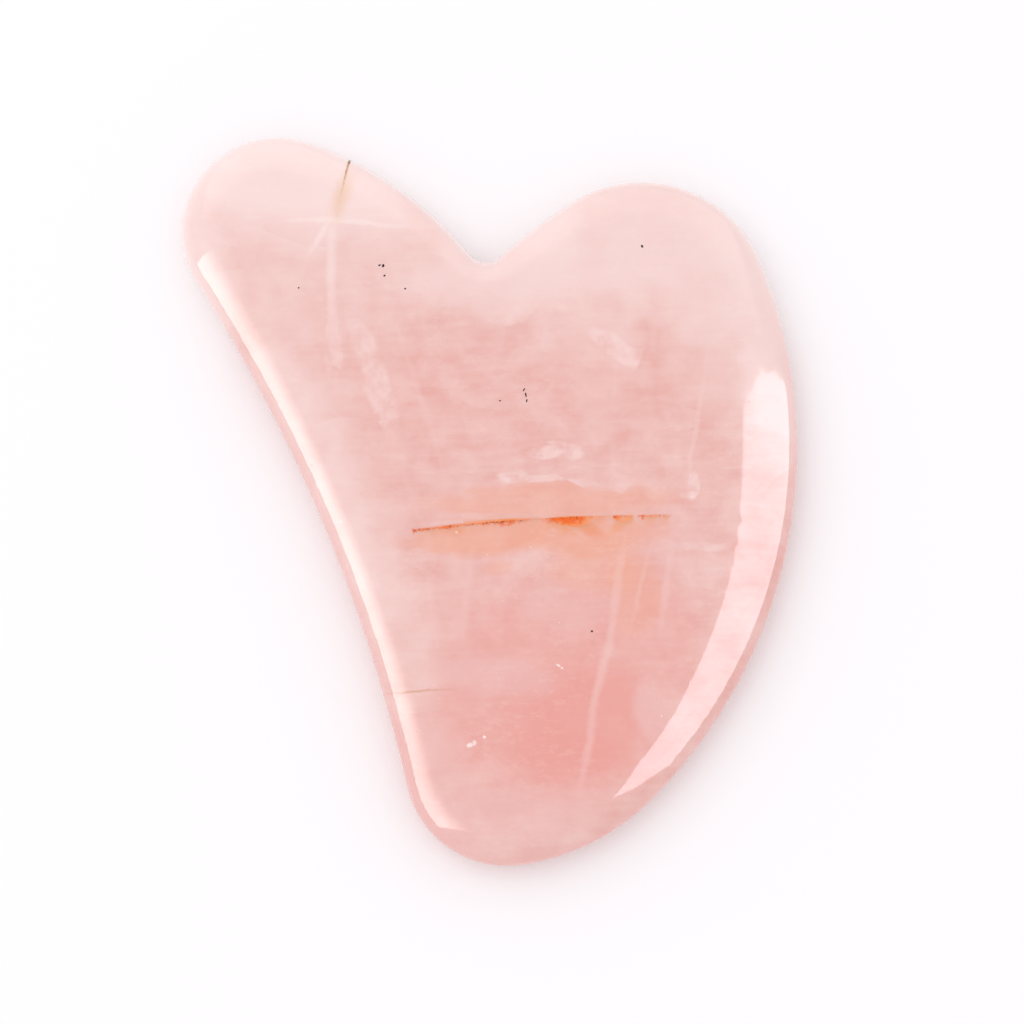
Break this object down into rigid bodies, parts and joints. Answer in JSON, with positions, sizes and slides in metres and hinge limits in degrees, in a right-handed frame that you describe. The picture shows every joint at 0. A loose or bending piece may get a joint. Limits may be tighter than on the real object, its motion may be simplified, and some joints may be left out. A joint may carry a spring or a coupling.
{
  "type": "gua sha scraper",
  "caption": "Flat heart-shaped massage scraper carved from rose quartz, with an uneven pair of lobes, a V notch, a hollow scraping edge and a blunt tip; its edge is rounded all round",
  "frame": {"origin": "middle of the plate's outer box, on its underside", "axes": "+Z is the plate's thickness, +Y runs from the blunt tip to the notch between the lobes, +X towards the broad lobe's side"},
  "size_m": [0.0674, 0.08, 0.006],
  "materials": {
    "rose_quartz": "polished, translucent pink with pale veils",
    "iron_oxide": "rusty orange mineral, polished flush with the face",
    "stained_crack": "thin brown mineral film, polished flush",
    "dark_mineral": "near black mineral grains, polished flush"
  },
  "bodies": {
    "root": {"quartz_plate": "rose_quartz", "iron_seam": "iron_oxide", "iron_patch": "iron_oxide", "iron_fleck": "iron_oxide", "iron_thread": "iron_oxide", "rim_hairline": "stained_crack", "dark_grains": "dark_mineral"}
  },
  "joints": []
}
